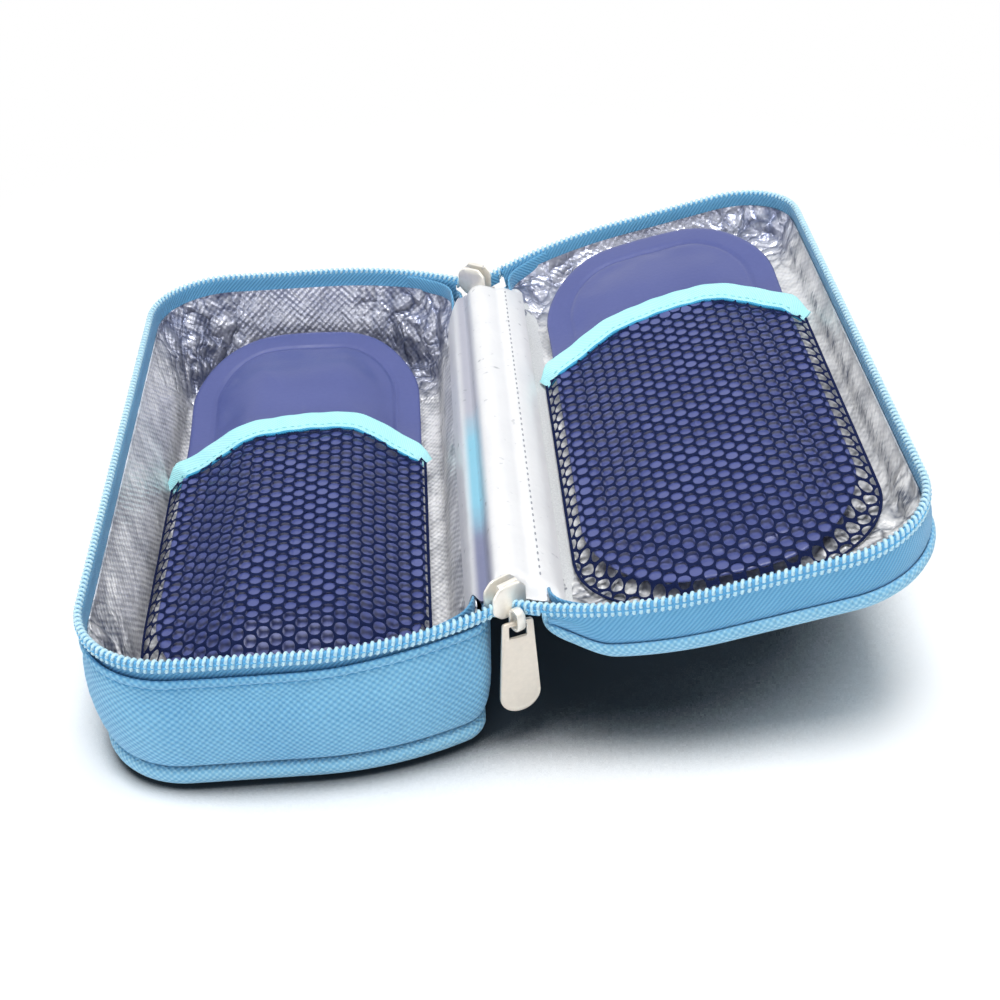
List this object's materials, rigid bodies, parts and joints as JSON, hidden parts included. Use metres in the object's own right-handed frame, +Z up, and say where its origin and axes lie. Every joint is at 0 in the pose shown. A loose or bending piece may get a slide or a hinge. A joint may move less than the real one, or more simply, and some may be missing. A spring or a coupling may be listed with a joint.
{
  "type": "insulin cooling case",
  "caption": "Zip-round insulin cooling case, open: foil-lined cloth base and hinged lid with mesh pockets that hold gel packs, and metal zip sliders with hanging pull tabs.",
  "frame": {"origin": "on the floor, in the middle of the base's outline (hinge line to outer side, and front to rear)", "axes": "+X from the base towards the open lid, +Y to the rear where the mesh pockets open, +Z up"},
  "size_m": [0.2002, 0.19, 0.0639],
  "materials": {
    "shell_cloth": "light blue woven polyester cloth",
    "zip_tape": "blue twill zip tape",
    "zip_coil": "blue nylon coil",
    "foam": "white closed-cell foam",
    "foil_lining": "silver aluminised film on cloth",
    "white_lining": "smooth pale lining",
    "net": "navy knitted mesh",
    "binding": "bright cyan binding tape",
    "pack_film": "glossy blue-violet film",
    "gel": "blue coolant gel",
    "nickel": "polished warm nickel plate"
  },
  "bodies": {
    "base": {"base_bottom_panel": "shell_cloth", "base_wall": "shell_cloth", "base_zip_tape": "zip_tape", "base_zip_coil": "zip_coil", "base_foam_bottom": "foam", "base_foam_wall": "foam", "base_foil_liner": "foil_lining", "base_mesh_pocket": "net", "base_pocket_binding": "binding", "spine_outer_cloth": "shell_cloth", "spine_liner": "white_lining"},
    "lid": {"lid_panel": "shell_cloth", "lid_spine_wall": "shell_cloth", "lid_zip_tape": "zip_tape", "lid_zip_coil": "zip_coil", "lid_foam": "foam", "lid_foil_liner": "foil_lining", "lid_mesh_pocket": "net", "lid_pocket_binding": "binding"},
    "front_slider": {"front_slider_body": "nickel", "front_slider_bail": "nickel"},
    "front_pull": {"front_pull_tab": "nickel"},
    "rear_slider": {"rear_slider_body": "nickel", "rear_slider_bail": "nickel"},
    "rear_pull": {"rear_pull_tab": "nickel"},
    "base_pack": {"base_pack_front_film": "pack_film", "base_pack_back_film": "pack_film", "base_pack_gel": "gel"},
    "lid_pack": {"lid_pack_front_film": "pack_film", "lid_pack_back_film": "pack_film", "lid_pack_gel": "gel"}
  },
  "joints": [
    {"name": "lid_hinge", "type": "hinge", "parent": "base", "child": "lid", "pos_m": [0.05, 0, 0.042], "axis": [0, -1, 0], "range_deg": [-12, 167], "deforming": ["spine_outer_cloth", "spine_liner"]},
    {"name": "front_slider_travel", "type": "hinge", "parent": "base", "child": "front_slider", "pos_m": [0.003, -0.009, 0.042], "axis": [0, 0, -1], "range_deg": [0, 29]},
    {"name": "front_pull_swing", "type": "hinge", "parent": "front_slider", "child": "front_pull", "pos_m": [0.05249, -0.08357, 0.0371], "axis": [-0.9479, -0.3184, 0], "range_deg": [-4, 75]},
    {"name": "rear_slider_travel", "type": "hinge", "parent": "base", "child": "rear_slider", "pos_m": [0.003, 0.009, 0.042], "axis": [0, 0, 1], "range_deg": [0, 29]},
    {"name": "rear_pull_swing", "type": "hinge", "parent": "rear_slider", "child": "rear_pull", "pos_m": [0.05249, 0.08357, 0.0371], "axis": [0.9479, -0.3184, 0], "range_deg": [-4, 75]},
    {"name": "base_pack_slide", "type": "slide", "parent": "base", "child": "base_pack", "axis": [0, 1, 0], "range_m": [0, 0.005]},
    {"name": "lid_pack_slide", "type": "slide", "parent": "lid", "child": "lid_pack", "axis": [0, 1, 0], "range_m": [0, 0.005]}
  ]
}
